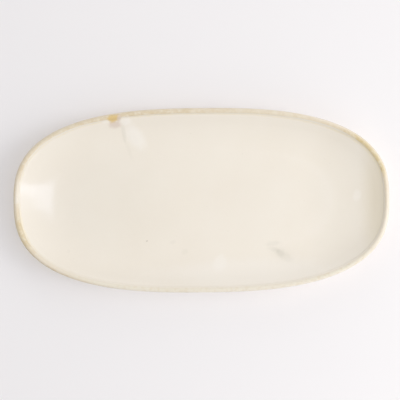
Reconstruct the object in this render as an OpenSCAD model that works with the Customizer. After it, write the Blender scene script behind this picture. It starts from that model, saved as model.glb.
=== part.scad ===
// Long oval stoneware plate for serving asparagus.
// A pressed clay shell with a rounded lip stands on an oval foot ring that is luted to its floor.
// Glaze covers the well, the outside of the wall and the base inside the foot.
// Round the lip the glaze is wiped back to a thin toasted wash.

/* [Plate] */
// Length over the lip
plate_length = 280; // [240:1:340]
// Width over the lip
plate_width = 137.5; // [120:0.5:180]
// Height from the table to the top of the lip
plate_height = 18.5; // [16:0.5:24]
// Squareness of the oval, where 2 is an ellipse and more is squarer
oval_power = 2.65; // [2:0.05:4]

/* [Shell] */
// Thickness of the clay floor
floor_thickness = 5.4; // [4.5:0.1:7]
// Thickness of the clay wall at the lip
lip_thickness = 3.8; // [3:0.1:6]
// Slope of the wall at the lip, in degrees from level
lip_slope = 38; // [34:1:50]
// Plan width of the curved wall at the two ends
end_run = 40; // [32:1:55]
// Plan width of the curved wall at the two long sides
side_run = 28; // [22:0.5:34]
// Depth of the sag in the middle of the floor
floor_sag = 1.8; // [0.4:0.1:2.2]

/* [Foot] */
// Height of the foot ring
foot_height = 3.6; // [3:0.1:5]
// Width of the level face that the plate stands on
foot_face = 4; // [3:0.1:8]
// Draft of each side of the foot, from the shell down to the bevel
foot_draft = 1.2; // [0.2:0.1:3]
// Bevel along both lower edges of the foot
foot_bevel = 0.7; // [0.3:0.1:1.5]
// Level shelf between the foot of the wall and the foot ring
foot_shelf = 4; // [2.5:0.5:10]

/* [Coats] */
// Thickness of the glaze
glaze_thickness = 0.45; // [0.3:0.05:0.8]
// Thickness of the wash round the lip
wash_thickness = 0.25; // [0.1:0.05:0.4]
// Width of the wash down the inside of the lip
wash_inside = 1.2; // [0.5:0.1:4]
// Width of the wash down the outside of the lip
wash_outside = 1.6; // [0.5:0.1:4]
// Bare strip between the glaze and the foot ring
glaze_stop = 1; // [0.5:0.1:2]

/* [Smoothness] */
// Points round the oval
around = 80; // [40:4:120]
// Steps up the curved wall
wall_steps = 7; // [5:1:10]
// Steps in each quarter of the lip
lip_steps = 2; // [2:1:4]

/* [Hidden] */

clay_colour = "tan";
wash_colour = "burlywood";
glaze_colour = "oldlace";

// How far the foot's strip hangs below the table before it is cut level
cut_overrun = 0.4;

// The lip is a half circle across the wall, so its inner edge lies inside the outline
lip_radius = lip_thickness / 2;
lip_overhang = wash_thickness + lip_radius + lip_radius * sin(lip_slope);
rim_half_length = plate_length / 2 - lip_overhang;
rim_half_width = plate_width / 2 - lip_overhang;
rim_level = plate_height - wash_thickness - lip_radius + lip_radius * cos(lip_slope);

// The clay floor, from its underside on the foot to the well
well_level = foot_height + floor_thickness;
floor_half_length = rim_half_length - end_run;
floor_half_width = rim_half_width - side_run;
sag_shares = [0.4, 0.7, 0.9];

// Where the glaze stops and the wash starts, as shares of the way up each side of the wall
wall_pull = 2 * (rim_level - well_level) / sin(lip_slope);
inside_share = 1 - wash_inside / wall_pull;
outside_share = 1 - wash_outside / wall_pull;

// Foot ring, measured inwards from the outer edge of its top
foot_half_length = floor_half_length - foot_shelf;
foot_half_width = floor_half_width - foot_shelf;
foot_width = foot_face + 2 * foot_bevel + 2 * foot_draft;

// A ring is [half length, half width, level]. This is its point at an angle round the oval.
function oval_point(ring, angle) =
    let (reach = (abs(cos(angle)) ^ oval_power + abs(sin(angle)) ^ oval_power) ^ (-1 / oval_power))
    [ring[0] * reach * cos(angle), ring[1] * reach * sin(angle), ring[2]];

function oval(ring) = [for (step = [0 : around - 1]) oval_point(ring, 360 * step / around)];

// Curve from start to end that leaves and arrives along lines through the middle point
function bend(start, middle, end, share) =
    start * (1 - share) ^ 2 + 2 * middle * share * (1 - share) + end * share ^ 2;

// Ring of a face of the wall that lies floor_lift above the well's clay and lip_lift off the lip's.
// The share runs from 0 at the floor's edge to 1 at the lip, where every side has the lip's slope.
function wall_ring(floor_lift, lip_lift, share) =
    let (
        foot_level = well_level + floor_lift,
        top_level = rim_level + lip_lift * cos(lip_slope),
        top_inset = lip_lift * sin(lip_slope),
        turn_inset = top_inset + (top_level - foot_level) / tan(lip_slope)
    )
    [
        rim_half_length - bend(end_run, turn_inset, top_inset, share),
        rim_half_width - bend(side_run, turn_inset, top_inset, share),
        bend(foot_level, foot_level, top_level, share)
    ];

// Rings up the wall, evenly spaced in share
function wall_rings(floor_lift, lip_lift, top_share) =
    [for (step = [0 : wall_steps]) wall_ring(floor_lift, lip_lift, top_share * step / wall_steps)];

// Rings of the sagging floor, from the middle out to the foot of the wall
function floor_rings(lift) = [
    for (share = sag_shares)
        [
            share * floor_half_length,
            share * floor_half_width,
            well_level + lift - floor_sag * (1 - share ^ 2) ^ 2
        ]
];

// Angles over the lip, from upright: its inner face, its top, its outermost point, its outer face
function arc(from, to) = [for (step = [0 : lip_steps - 1]) from + (to - from) * step / lip_steps];

lip_turns = concat(
    arc(lip_slope, 0),
    arc(0, -90),
    arc(-90, lip_slope - 180),
    [lip_slope - 180]
);

// Rings over the lip, from its inner face to its outer face, with a coat on it
function lip_rings(coat) = [
    for (turn = lip_turns)
        let (inset = (lip_radius + coat) * sin(turn) - lip_radius * sin(lip_slope))
        [
            rim_half_length - inset,
            rim_half_width - inset,
            rim_level + (lip_radius + coat) * cos(turn) - lip_radius * cos(lip_slope)
        ]
];

function reversed(list) = [for (index = [len(list) - 1 : -1 : 0]) list[index]];

// Ring at a level that lies inset from the top outer edge of the foot
function foot_ring_at(inset, level) = [foot_half_length - inset, foot_half_width - inset, level];

// Two triangles between points step and step + 1 of rings a and b. The cut runs from the
// smaller ring to the next point of the larger one, so faces that touch are cut alike.
function strip(a, b, step, growing) =
    let (
        next = (step + 1) % around,
        a0 = a * around + step,
        a1 = a * around + next,
        b0 = b * around + step,
        b1 = b * around + next
    )
    growing ? [[a0, a1, b1], [a0, b1, b0]] : [[a0, a1, b0], [a1, b1, b0]];

function skin(rings, from, to) = [
    for (step = [0 : around - 1])
        each strip(from, to, step, rings[to][0] > rings[from][0])
];

// Solid through a row of rings, closed by a level face across the first and the last
module dish(rings) {
    last = len(rings) - 1;
    polyhedron(
        points = [for (ring = rings) each oval(ring)],
        faces = concat(
            [for (index = [0 : last - 1]) each skin(rings, index, index + 1)],
            [[for (step = [around - 1 : -1 : 0]) step]],
            [[for (step = [0 : around - 1]) last * around + step]]
        )
    );
}

// Solid through a row of rings that comes back round to the first
module hoop(rings) {
    polyhedron(
        points = [for (ring = rings) each oval(ring)],
        faces = [for (index = [0 : len(rings) - 1]) each skin(rings, index, (index + 1) % len(rings))]
    );
}

// Pressed stoneware shell: sagging floor, curved wall, rounded lip and level underside
module clay_body() {
    color(clay_colour)
        dish(concat(
            floor_rings(0),
            wall_rings(0, 0, inside_share),
            lip_rings(0),
            reversed(wall_rings(-floor_thickness, -lip_thickness, outside_share))
        ));
}

// Oval strip of bare clay under the floor, drafted, bevelled and cut level to stand on
module foot_ring() {
    color(clay_colour)
        difference() {
            hoop([
                foot_ring_at(foot_width, foot_height),
                foot_ring_at(0, foot_height),
                foot_ring_at(foot_draft, foot_bevel),
                foot_ring_at(foot_draft + foot_bevel + cut_overrun, -cut_overrun),
                foot_ring_at(foot_width - foot_draft - foot_bevel - cut_overrun, -cut_overrun),
                foot_ring_at(foot_width - foot_draft, foot_bevel)
            ]);
            translate([-plate_length / 2, -plate_width / 2, -plate_height])
                cube([plate_length, plate_width, plate_height]);
        }
}

// Coat of glaze over the floor and up the inside of the wall
module well_glaze() {
    color(glaze_colour)
        dish(concat(
            floor_rings(glaze_thickness),
            wall_rings(glaze_thickness, glaze_thickness, inside_share),
            reversed(wall_rings(0, 0, inside_share)),
            reversed(floor_rings(0))
        ));
}

// Thin wash over the lip, from the edge of the well's glaze to the edge of the wall's
module rim_wash() {
    inner_edge = wall_ring(wash_thickness, wash_thickness, inside_share);
    outer_edge = wall_ring(
        -floor_thickness - wash_thickness, -lip_thickness - wash_thickness, outside_share
    );
    color(wash_colour)
        hoop(concat(
            [inner_edge],
            lip_rings(wash_thickness),
            [outer_edge, wall_ring(-floor_thickness, -lip_thickness, outside_share)],
            reversed(lip_rings(0)),
            [wall_ring(0, 0, inside_share)]
        ));
}

// Coat of glaze down the outside of the wall and along the shelf, stopped short of the foot
module wall_glaze() {
    outer_face = wall_rings(
        -floor_thickness - glaze_thickness, -lip_thickness - glaze_thickness, outside_share
    );
    color(glaze_colour)
        hoop(concat(
            reversed(outer_face),
            [foot_ring_at(-glaze_stop, foot_height - glaze_thickness)],
            [foot_ring_at(-glaze_stop, foot_height)],
            wall_rings(-floor_thickness, -lip_thickness, outside_share)
        ));
}

// Panel of glaze under the floor, inside the foot ring
module base_glaze() {
    color(glaze_colour)
        translate([0, 0, foot_height - glaze_thickness])
            linear_extrude(glaze_thickness)
                polygon([
                    for (point = oval(foot_ring_at(foot_width + glaze_stop, 0)))
                        [point[0], point[1]]
                ]);
}

clay_body();
foot_ring();
well_glaze();
rim_wash();
wall_glaze();
base_glaze();
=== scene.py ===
# %% [markdown]
# # A long oval plate for asparagus
#
# The plate is hand-pressed stoneware: a shallow oval shell with a soft wall and a rounded lip, a strip
# of clay luted on as a foot, a satin cream glaze, and a lip that was wiped back to a thin toasted wash.
# A CAD model already fixes every size. This lesson gives each piece a dense smooth mesh and a finish.
# All of the shapes follow one rule, an oval that changes as it climbs, so Geometry Nodes make them all.

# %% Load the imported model
import math

import bpy
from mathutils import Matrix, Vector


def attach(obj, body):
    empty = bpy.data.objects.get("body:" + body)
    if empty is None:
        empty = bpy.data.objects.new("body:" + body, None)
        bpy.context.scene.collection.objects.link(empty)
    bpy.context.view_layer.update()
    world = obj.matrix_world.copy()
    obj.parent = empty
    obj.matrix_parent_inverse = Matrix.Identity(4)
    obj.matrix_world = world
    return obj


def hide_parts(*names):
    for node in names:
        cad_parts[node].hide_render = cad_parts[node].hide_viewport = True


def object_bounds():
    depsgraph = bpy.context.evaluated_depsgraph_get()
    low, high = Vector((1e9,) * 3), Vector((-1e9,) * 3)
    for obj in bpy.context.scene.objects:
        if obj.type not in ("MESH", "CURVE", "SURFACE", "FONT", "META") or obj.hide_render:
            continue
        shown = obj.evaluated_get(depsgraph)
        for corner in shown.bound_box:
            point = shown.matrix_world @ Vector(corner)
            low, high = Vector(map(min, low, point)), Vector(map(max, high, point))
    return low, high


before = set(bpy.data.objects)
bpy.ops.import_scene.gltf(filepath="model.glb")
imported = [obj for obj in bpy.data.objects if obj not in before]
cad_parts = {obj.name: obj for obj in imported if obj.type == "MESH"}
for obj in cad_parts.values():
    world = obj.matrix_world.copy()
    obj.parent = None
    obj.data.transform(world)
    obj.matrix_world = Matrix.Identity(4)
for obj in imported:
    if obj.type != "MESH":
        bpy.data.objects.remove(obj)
cad_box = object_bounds()
scene = bpy.context.scene
print("CAD box in metres:", [round(side, 4) for side in cad_box[1] - cad_box[0]])

# %% [markdown]
# ## Sizes
#
# The length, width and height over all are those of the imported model. The script can't open the CAD
# source, so it repeats the source's other sizes here, in metres. The rest follow from them, in the same
# way as in the source.

# %% Sizes of the shell
MM = 0.001

plate_length, plate_width, plate_height = cad_box[1] - cad_box[0]
oval_power = 2.65

floor_thickness = 5.4 * MM
lip_thickness = 3.8 * MM
lip_slope = math.radians(38)
end_run = 40 * MM
side_run = 28 * MM
floor_sag = 1.8 * MM

glaze_thickness = 0.45 * MM
wash_thickness = 0.25 * MM
wash_inside = 1.2 * MM
wash_outside = 1.6 * MM

# %% Sizes that follow from them
lip_radius = lip_thickness / 2
lip_overhang = wash_thickness + lip_radius + lip_radius * math.sin(lip_slope)
rim_half_length = plate_length / 2 - lip_overhang
rim_half_width = plate_width / 2 - lip_overhang
rim_level = plate_height - wash_thickness - lip_radius + lip_radius * math.cos(lip_slope)

# %% Sizes of the foot
foot_height = 3.6 * MM
foot_face = 4 * MM
foot_draft = 1.2 * MM
foot_bevel = 0.7 * MM
foot_shelf = 4 * MM
glaze_stop = 1 * MM

well_level = foot_height + floor_thickness
floor_half_length = rim_half_length - end_run
floor_half_width = rim_half_width - side_run
foot_half_length = floor_half_length - foot_shelf
foot_half_width = floor_half_width - foot_shelf
foot_width = foot_face + 2 * foot_bevel + 2 * foot_draft
print("Inside depth in mm:", round((rim_level - well_level + floor_sag) / MM, 2))

# %% Where the wash starts on the wall
# Near the lip, a share of the wall is this much of its surface
wall_pull = 2 * (rim_level - well_level) / math.sin(lip_slope)
inside_share = 1 - wash_inside / wall_pull
outside_share = 1 - wash_outside / wall_pull
wash_width = wash_inside + math.pi * (lip_radius + wash_thickness) + wash_outside
print("The wash is", round(wash_width / MM, 1), "mm wide over the lip")

# %% [markdown]
# ## Arithmetic that builds nodes
#
# A formula in a node tree is usually a web of Math nodes, which is slow to wire and hard to read. Here
# a small class stands for the number that comes out of a socket. Adding, multiplying or raising such
# numbers adds the Math nodes and the links, so a rule can be written as it would be on paper. The same
# class serves the geometry trees and, later, the shader trees.

# %% A number in a node tree
class Field:
    """What comes out of a socket. Arithmetic on fields adds Math nodes to their tree."""

    def __init__(self, tree, socket):
        self.tree = tree
        self.socket = socket

    def math(self, operation, *others):
        node = self.tree.nodes.new("ShaderNodeMath")
        node.operation = operation
        for place, value in zip(node.inputs, (self, *others)):
            feed(self.tree, value, place)
        return Field(self.tree, node.outputs["Value"])

    def __add__(self, other):
        return self.math("ADD", other)

    def __sub__(self, other):
        return self.math("SUBTRACT", other)

    def __mul__(self, other):
        return self.math("MULTIPLY", other)

    def __truediv__(self, other):
        return self.math("DIVIDE", other)

    def __pow__(self, other):
        return self.math("POWER", other)

    def __neg__(self):
        return self * -1

    def __abs__(self):
        return self.math("ABSOLUTE")

    def __rsub__(self, other):
        return -self + other

    __radd__ = __add__
    __rmul__ = __mul__

    def clamped(self):
        return self.math("MAXIMUM", 0).math("MINIMUM", 1)


def feed(tree, value, socket):
    """Links a field to a socket, or sets the socket to a plain value."""
    if isinstance(value, Field):
        tree.links.new(value.socket, socket)
    else:
        socket.default_value = value


# %% A node tree that is filled by calls
class Nodes:
    def __init__(self, tree):
        self.tree = tree

    def add(self, kind, inputs=None, output=0, **settings):
        """Adds a node and gives one of its outputs as a field."""
        node = self.tree.nodes.new(kind)
        for name, value in settings.items():
            setattr(node, name, value)
        for name, value in (inputs or {}).items():
            feed(self.tree, value, node.inputs[name])
        return Field(self.tree, node.outputs[output])

    def vector(self, x, y, z):
        return self.add("ShaderNodeCombineXYZ", {"X": x, "Y": y, "Z": z})

    def noise(self, scale, detail=2.0, roughness=0.5):
        """Soft noise from 0 to 1 over the tree's own place, at a scale in lumps a metre."""
        inputs = {"Vector": self.place, "Scale": scale, "Detail": detail, "Roughness": roughness}
        return self.add("ShaderNodeTexNoise", inputs)


# %% Ramps
def stage(share, start, end):
    """0 until the share reaches start, and 1 once it has reached end."""
    return ((share - start) / (end - start)).clamped()


def fading(share, end):
    """1 at 0, and 0 once the share has reached end."""
    return (1 - share / end).clamped()


def eased(share):
    """A share from 0 to 1 that starts and ends softly."""
    return share * share * (3 - share * 2)


def rounded(share):
    """A share from 0 to 1 that climbs as a quarter of a circle."""
    return (1 - (1 - share) ** 2) ** 0.5


def varied(share, least, most):
    """A share from 0 to 1 as a value from least to most."""
    return share * (most - least) + least


# %% [markdown]
# ## A rule for a piece
#
# A rule is a Geometry Nodes tree. Its sizes are named inputs, so they show on the modifier's panel, and
# it ends in Realize Instances and Set Material. The modifier's inputs are set by their identifiers,
# since names may repeat. Once the tree has run, its result becomes a plain mesh and the modifier goes.

# %% Geometry Nodes with named sizes
class Rule(Nodes):
    def __init__(self, name):
        super().__init__(bpy.data.node_groups.new(name, "GeometryNodeTree"))
        self.tree.interface.new_socket("Piece", in_out="OUTPUT", socket_type="NodeSocketGeometry")
        self.entry = self.tree.nodes.new("NodeGroupInput")
        self.settings = {}
        self.named = {}
        self.place = self.add("GeometryNodeInputPosition")
        self.x = self.add("ShaderNodeSeparateXYZ", {"Vector": self.place}, output="X")
        self.y = self.add("ShaderNodeSeparateXYZ", {"Vector": self.place}, output="Y")

    def given(self, name, value, kind="NodeSocketFloat"):
        """The named input of the tree, made when it is first asked for."""
        if name not in self.named:
            socket = self.tree.interface.new_socket(name, in_out="INPUT", socket_type=kind)
            self.settings[socket.identifier] = value
            self.named[name] = Field(self.tree, self.entry.outputs[name])
        return self.named[name]

    def size(self, name):
        return self.given(name, SIZES[name])

    def count(self, name, value):
        return self.given(name, value, "NodeSocketInt")

    def joined(self, *parts):
        node = self.tree.nodes.new("GeometryNodeJoinGeometry")
        for part in parts:
            self.tree.links.new(part.socket, node.inputs[0])
        return Field(self.tree, node.outputs[0])

    def make(self, name, geometry, finish):
        """Runs the tree once and keeps its result as a plain mesh."""
        finish_input = self.given("Finish", finish, "NodeSocketMaterial")
        whole = self.add("GeometryNodeRealizeInstances", {"Geometry": geometry})
        dressed = self.add("GeometryNodeSetMaterial", {"Geometry": whole, "Material": finish_input})
        exit_node = self.tree.nodes.new("NodeGroupOutput")
        self.tree.links.new(dressed.socket, exit_node.inputs["Piece"])
        piece = bpy.data.objects.new(name, bpy.data.meshes.new(name))
        scene.collection.objects.link(piece)
        modifier = piece.modifiers.new("Rule", "NODES")
        modifier.node_group = self.tree
        for identifier, value in self.settings.items():
            modifier[identifier] = value
        graph = bpy.context.evaluated_depsgraph_get()
        mesh = bpy.data.meshes.new_from_object(
            piece.evaluated_get(graph), preserve_all_data_layers=True, depsgraph=graph
        )
        piece.modifiers.remove(modifier)
        piece.data = mesh
        print(name, "has", sum(len(face.vertices) - 2 for face in mesh.polygons), "triangles")
        return piece


SIZES = {
    "Oval power": oval_power,
    "Rim half length": rim_half_length,
    "Rim half width": rim_half_width,
    "Rim level": rim_level,
    "Well level": well_level,
    "End run": end_run,
    "Side run": side_run,
    "Lip slope": lip_slope,
    "Lip radius": lip_radius,
    "Lip thickness": lip_thickness,
    "Floor thickness": floor_thickness,
    "Floor half length": floor_half_length,
    "Floor half width": floor_half_width,
    "Floor sag": floor_sag,
    "Glaze thickness": glaze_thickness,
    "Wash thickness": wash_thickness,
    "Inside share": inside_share,
    "Outside share": outside_share,
    "Wall pull": wall_pull,
    "Foot height": foot_height,
    "Foot half length": foot_half_length,
    "Foot half width": foot_half_width,
    "Foot width": foot_width,
    "Foot shelf": foot_shelf,
    "Glaze stop": glaze_stop,
}

# %% [markdown]
# ## The oval
#
# The plate's outline is a superellipse, which is squarer than an ellipse. A disc of it could be made in
# rings round a pole, but a pole crowds its triangles. Instead a square grid is pushed outwards: each
# point keeps its direction, and the square it lies on becomes an oval. The result has no pole and no
# seam. A hoop, such as the lip, is a grid whose long side is bent round until its two ends meet.

# %% Coordinates on a sheet and on a hoop
def oval_reach(rule, x, y):
    power = rule.size("Oval power")
    return (abs(x) ** power + abs(y) ** power) ** (power ** -1)


def sheet_coordinates(rule):
    """Direction on the unit oval, and ring from 0 in the middle to 1 at the edge, on a square grid."""
    reach = oval_reach(rule, rule.x, rule.y)
    ring = abs(rule.x).math("MAXIMUM", abs(rule.y))
    return rule.x / reach, rule.y / reach, ring


def hoop_coordinates(rule):
    """Direction on the unit oval, and share of the way across, on a grid that is bent round."""
    angle = rule.x * math.pi
    along, aside = angle.math("COSINE"), angle.math("SINE")
    reach = oval_reach(rule, along, aside)
    return along / reach, aside / reach, 0.5 - rule.y * 0.5


def grid(rule, columns, rows):
    """A flat grid of points, from -1 to 1 each way."""
    points = {"Vertices X": rule.count("Columns", columns), "Vertices Y": rule.count("Rows", rows)}
    return rule.add("GeometryNodeMeshGrid", {"Size X": 2, "Size Y": 2, **points})


# %% The edges of a sheet and of a hoop
# Far less than the step between two rows of any grid
HAIR = 0.0001


def from_edge(across):
    """How far a point of a hoop lies from the nearer edge, as a share of the way across."""
    return 0.5 - abs(across - 0.5)


def on_edge(distance):
    """1 for points that lie on the edge, at no distance from it, and 0 for all others."""
    return distance.math("LESS_THAN", HAIR)


# %% Placing the points of a grid
def placed(rule, mesh, unit_x, unit_y, half_length, half_width, level):
    position = rule.vector(half_length * unit_x, half_width * unit_y, level)
    return rule.add("GeometryNodeSetPosition", {"Geometry": mesh, "Position": position})


def placed_by(rule, mesh, unit_x, unit_y, path):
    """Placed by insets from the rim, at the ends and at the sides, and a level."""
    end_inset, side_inset, level = path
    half_length = rule.size("Rim half length") - end_inset
    half_width = rule.size("Rim half width") - side_inset
    return placed(rule, mesh, unit_x, unit_y, half_length, half_width, level)


# Points this near are one point. The grids' own points are several times as far apart.
TOUCH = 0.002 * MM


def closed(rule, face, back):
    """A solid skin: the face and the back, turned over, share their edges."""
    back = rule.add("GeometryNodeFlipFaces", {"Mesh": back})
    skin = rule.joined(face, back)
    skin = rule.add("GeometryNodeMergeByDistance", {"Geometry": skin, "Distance": TOUCH})
    return rule.add("GeometryNodeSetShadeSmooth", {"Geometry": skin})


# %% [markdown]
# ## The wall and the lip
#
# Cut through, the wall is a soft curve that leaves the floor level and reaches the lip at a fixed
# slope. It runs in further at the two ends than along the sides. The lip is half a circle across the
# wall. Each function gives a path of three fields: how far the face lies inside the rim at the ends,
# the same at the sides, and its level. Lifting a face off the clay gives the top of a coat.

# %% The curve of the wall
def bend(start, middle, end, share):
    """Curve from start to end that leaves and arrives along lines through the middle."""
    rest = 1 - share
    return start * rest ** 2 + middle * share * rest * 2 + end * share ** 2


def wall_path(rule, floor_lift, lip_lift, share):
    slope = rule.size("Lip slope")
    foot_level = rule.size("Well level") + floor_lift
    top_level = rule.size("Rim level") + lip_lift * slope.math("COSINE")
    top_inset = lip_lift * slope.math("SINE")
    turn_inset = top_inset + (top_level - foot_level) / slope.math("TANGENT")
    return (
        bend(rule.size("End run"), turn_inset, top_inset, share),
        bend(rule.size("Side run"), turn_inset, top_inset, share),
        bend(foot_level, foot_level, top_level, share),
    )


# %% The round of the lip
def lip_path(rule, coat, turn):
    """A coat on the lip, at an angle from upright: the slope is its inner face."""
    slope, radius = rule.size("Lip slope"), rule.size("Lip radius")
    inset = (radius + coat) * turn.math("SINE") - radius * slope.math("SINE")
    level = (radius + coat) * turn.math("COSINE") - radius * slope.math("COSINE")
    return inset, inset, rule.size("Rim level") + level


def carried_on(path, *others):
    """One path made of several: each pair holds a later path and the point where it starts."""
    for later, start in others:
        path = [field + now - before for field, now, before in zip(path, later, start)]
    return path


# %% [markdown]
# ## Effects that several finishes share
#
# Mottling, iron specks, sandy grain and soft patches turn up in more than one finish. Each is a shader
# node group with named inputs, made once and placed in each material with its own values. They read
# Object coordinates, in metres, so that a pattern keeps its scale and stays where it is on the clay.

# %% Node groups for effects
class Effect(Nodes):
    def __init__(self, name, inputs, output):
        super().__init__(bpy.data.node_groups.new(name, "ShaderNodeTree"))
        kinds = {float: "NodeSocketFloat", tuple: "NodeSocketVector"}
        for socket_name, value in {"Place": (0.0, 0.0, 0.0), **inputs}.items():
            socket = self.tree.interface.new_socket(
                socket_name, in_out="INPUT", socket_type=kinds[type(value)]
            )
            socket.default_value = value
        self.tree.interface.new_socket(output, in_out="OUTPUT", socket_type="NodeSocketFloat")
        self.entry = self.tree.nodes.new("NodeGroupInput")
        self.exit = self.tree.nodes.new("NodeGroupOutput")
        self.place = self.given("Place")

    def given(self, name):
        return Field(self.tree, self.entry.outputs[name])

    def gives(self, field):
        self.tree.links.new(field.socket, self.exit.inputs[0])


# %% Mottling
# Noise keeps near its middle, so it is spread to fill the range from 0 to 1
mottling = Effect("Mottling", {"Scale": 40.0, "Detail": 3.0, "Spread": 2.5}, "Amount")
cloud = mottling.noise(mottling.given("Scale"), mottling.given("Detail"))
mottling.gives(((cloud - 0.5) * mottling.given("Spread") + 0.5).clamped())

# %% Iron specks
# A cell pattern scatters one point in each cell. Of a cell's random colour, the red picks the few
# points that show and the green sets their widths.
SPECK_WIDTHS = (0.3, 1.3)

specks = Effect("Specks", {"Scale": 300.0, "Share": 0.1, "Size": 0.2}, "Mask")
cells = {"Vector": specks.place, "Scale": specks.given("Scale")}
cell_colour = specks.add("ShaderNodeTexVoronoi", cells, output="Color")
cell_distance = specks.add("ShaderNodeTexVoronoi", cells, output="Distance")
chance = specks.add("ShaderNodeSeparateColor", {"Color": cell_colour}, output="Red")
green = specks.add("ShaderNodeSeparateColor", {"Color": cell_colour}, output="Green")
picked = chance.math("LESS_THAN", specks.given("Share"))
specks.gives(fading(cell_distance, specks.given("Size") * varied(green, *SPECK_WIDTHS)) * picked)

# %% Sandy grain
COARSER = 0.3

grain = Effect("Sandy grain", {"Scale": 1500.0, "Lumps": 0.5}, "Height")
fine = grain.noise(grain.given("Scale"), detail=4.0, roughness=0.65)
coarse = grain.noise(grain.given("Scale") * COARSER)
grain.gives(fine * (1 - grain.given("Lumps")) + coarse * grain.given("Lumps"))

# %% A soft patch on the plan
# The place is moved to the patch's centre, turned to lie along it and divided by its half sizes, so
# the patch's edge lies at 1. The edge is a soft step, and noise makes it ragged.
FRAY_SCALE = 350.0

patch_inputs = {"Centre": (0.0, 0.0, 0.0), "Turn": 0.0, "Half length": 0.01, "Half width": 0.005}
patch = Effect("Soft patch", {**patch_inputs, "Ragged": 0.3, "Sharpness": 1.0}, "Mask")
moved = patch.add(
    "ShaderNodeVectorMath", {0: patch.place, 1: patch.given("Centre")}, operation="SUBTRACT"
)
turned = patch.add(
    "ShaderNodeVectorRotate", {"Vector": moved, "Angle": -patch.given("Turn")}, rotation_type="Z_AXIS"
)
along = patch.add("ShaderNodeSeparateXYZ", {"Vector": turned}, output="X") / patch.given("Half length")
aside = patch.add("ShaderNodeSeparateXYZ", {"Vector": turned}, output="Y") / patch.given("Half width")
reach = (along ** 2 + aside ** 2).math("SQRT")
fray = varied(patch.noise(FRAY_SCALE, detail=3.0, roughness=0.6), -1, 1) * patch.given("Ragged")
patch.gives(eased(((1 - reach) * patch.given("Sharpness") + 0.5 + fray).clamped()))

print("Effects:", [effect.tree.name for effect in (mottling, specks, grain, patch)])

# %% [markdown]
# ## Finishes
#
# A finish is a material. Its colour starts as one tone and takes on one mark after another, each laid
# over the last by its mask. Roughness and bump come from the same effects, so a spot that looks dry
# also feels dry. Values that are the same all over are set on the shader itself.

# %% Kinds of edge that a mark can have
# How ragged the edge is, and how sharp
EVEN = (0.1, 0.8)
VAGUE = (0.1, 0.7)
WAVERING = (0.2, 0.8)
SOFT = (0.3, 1.0)
FRAYED = (0.4, 1.0)
RAGGED = (0.5, 1.0)
TORN = (0.9, 1.3)

# %% A material that is filled by calls
# The Mix node has sockets of the same names for numbers and for colours, so these go by number
MIX_FACTOR, MIX_UNDER, MIX_OVER, MIX_RESULT = 0, 6, 7, 2


class Finish(Nodes):
    def __init__(self, name, colour):
        self.material = bpy.data.materials.new(name)
        self.material.use_nodes = True
        super().__init__(self.material.node_tree)
        self.shader = self.tree.nodes["Principled BSDF"]
        self.place = self.add("ShaderNodeTexCoord", output="Object")
        self.colour = colour

    def effect(self, group, **values):
        """Places an effect. Its inputs' names are written with _ for a space."""
        node = self.tree.nodes.new("ShaderNodeGroup")
        node.node_tree = group.tree
        feed(self.tree, self.place, node.inputs["Place"])
        for name, value in values.items():
            feed(self.tree, value, node.inputs[name.replace("_", " ")])
        return Field(self.tree, node.outputs[0])

    def mark(self, place, edge):
        """A soft patch at a place on the plan, in millimetres, turned by degrees from the length."""
        centre, turn, half_length, half_width = place
        ragged, sharpness = edge
        return self.effect(
            patch,
            Centre=(centre[0] * MM, centre[1] * MM, 0.0),
            Turn=math.radians(turn),
            Half_length=half_length * MM,
            Half_width=half_width * MM,
            Ragged=ragged,
            Sharpness=sharpness,
        )

    def lay(self, over, mask):
        """Lays a colour over what the finish has so far, by a mask."""
        node = self.tree.nodes.new("ShaderNodeMix")
        node.data_type = "RGBA"
        feed(self.tree, mask, node.inputs[MIX_FACTOR])
        for colour, socket in ((self.colour, MIX_UNDER), (over, MIX_OVER)):
            value = (*colour, 1.0) if isinstance(colour, tuple) else colour
            feed(self.tree, value, node.inputs[socket])
        self.colour = Field(self.tree, node.outputs[MIX_RESULT])

    def lay_marks(self, layers):
        """Lays marks by layers of a colour, a kind of edge, and places with the amount at each."""
        for colour, edge, marks in layers:
            for place, amount in marks:
                self.lay(colour, self.mark(place, edge) * amount)

    def attribute(self, name):
        return self.add("ShaderNodeAttribute", output="Fac", attribute_name=name)

    def set(self, **values):
        for name, value in values.items():
            feed(self.tree, value, self.shader.inputs[name.replace("_", " ")])

    def fire(self, roughness, height, depth):
        """Gives the shader the colours that were laid, a roughness, and a bump of this depth."""
        bump = self.add("ShaderNodeBump", {"Height": height, "Distance": depth}, output="Normal")
        self.set(Base_Color=self.colour, Roughness=roughness, Normal=bump)
        print(self.material.name, "has", len(self.tree.nodes), "nodes")


# %% [markdown]
# ### Colours
#
# These are linear values, as a shader reads them. The cream is warm and pale, and where the glaze runs
# thin over the clay it toasts to tan and ochre.

# %% Colours of clay, glaze and wash
CREAM_PALE = (0.879, 0.813, 0.708)
CREAM_DEEP = (0.855, 0.782, 0.670)
# Lighter cream that is painted light beside the lip
PAINTED_LIGHT_CREAM = (0.950, 0.880, 0.770)
CREAM_YELLOW = (0.870, 0.765, 0.560)
# Olive cream that is painted shade on the near side of the lip
SHADE_OLIVE_CREAM = (0.790, 0.742, 0.600)
# Tan cream that is painted shade on the wall at the right end
TAN_SHADE = (0.800, 0.712, 0.545)
# Milky cream, for the run and drift and also for painted light and a painted highlight
MILK_AND_LIGHT_PAINT = (0.920, 0.868, 0.790)
GREY_OLIVE = (0.520, 0.490, 0.400)
OCHRE = (0.735, 0.545, 0.250)
BROWN_PINK = (0.720, 0.600, 0.510)
WASH_TAN = (0.720, 0.595, 0.405)
WASH_GOLD = (0.665, 0.530, 0.255)
GRIT_PALE = (0.840, 0.770, 0.640)
IRON = (0.220, 0.150, 0.090)
CLAY_BUFF = (0.560, 0.430, 0.290)
CLAY_TOAST = (0.430, 0.290, 0.170)
CLAY_SAND = (0.720, 0.620, 0.470)
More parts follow.
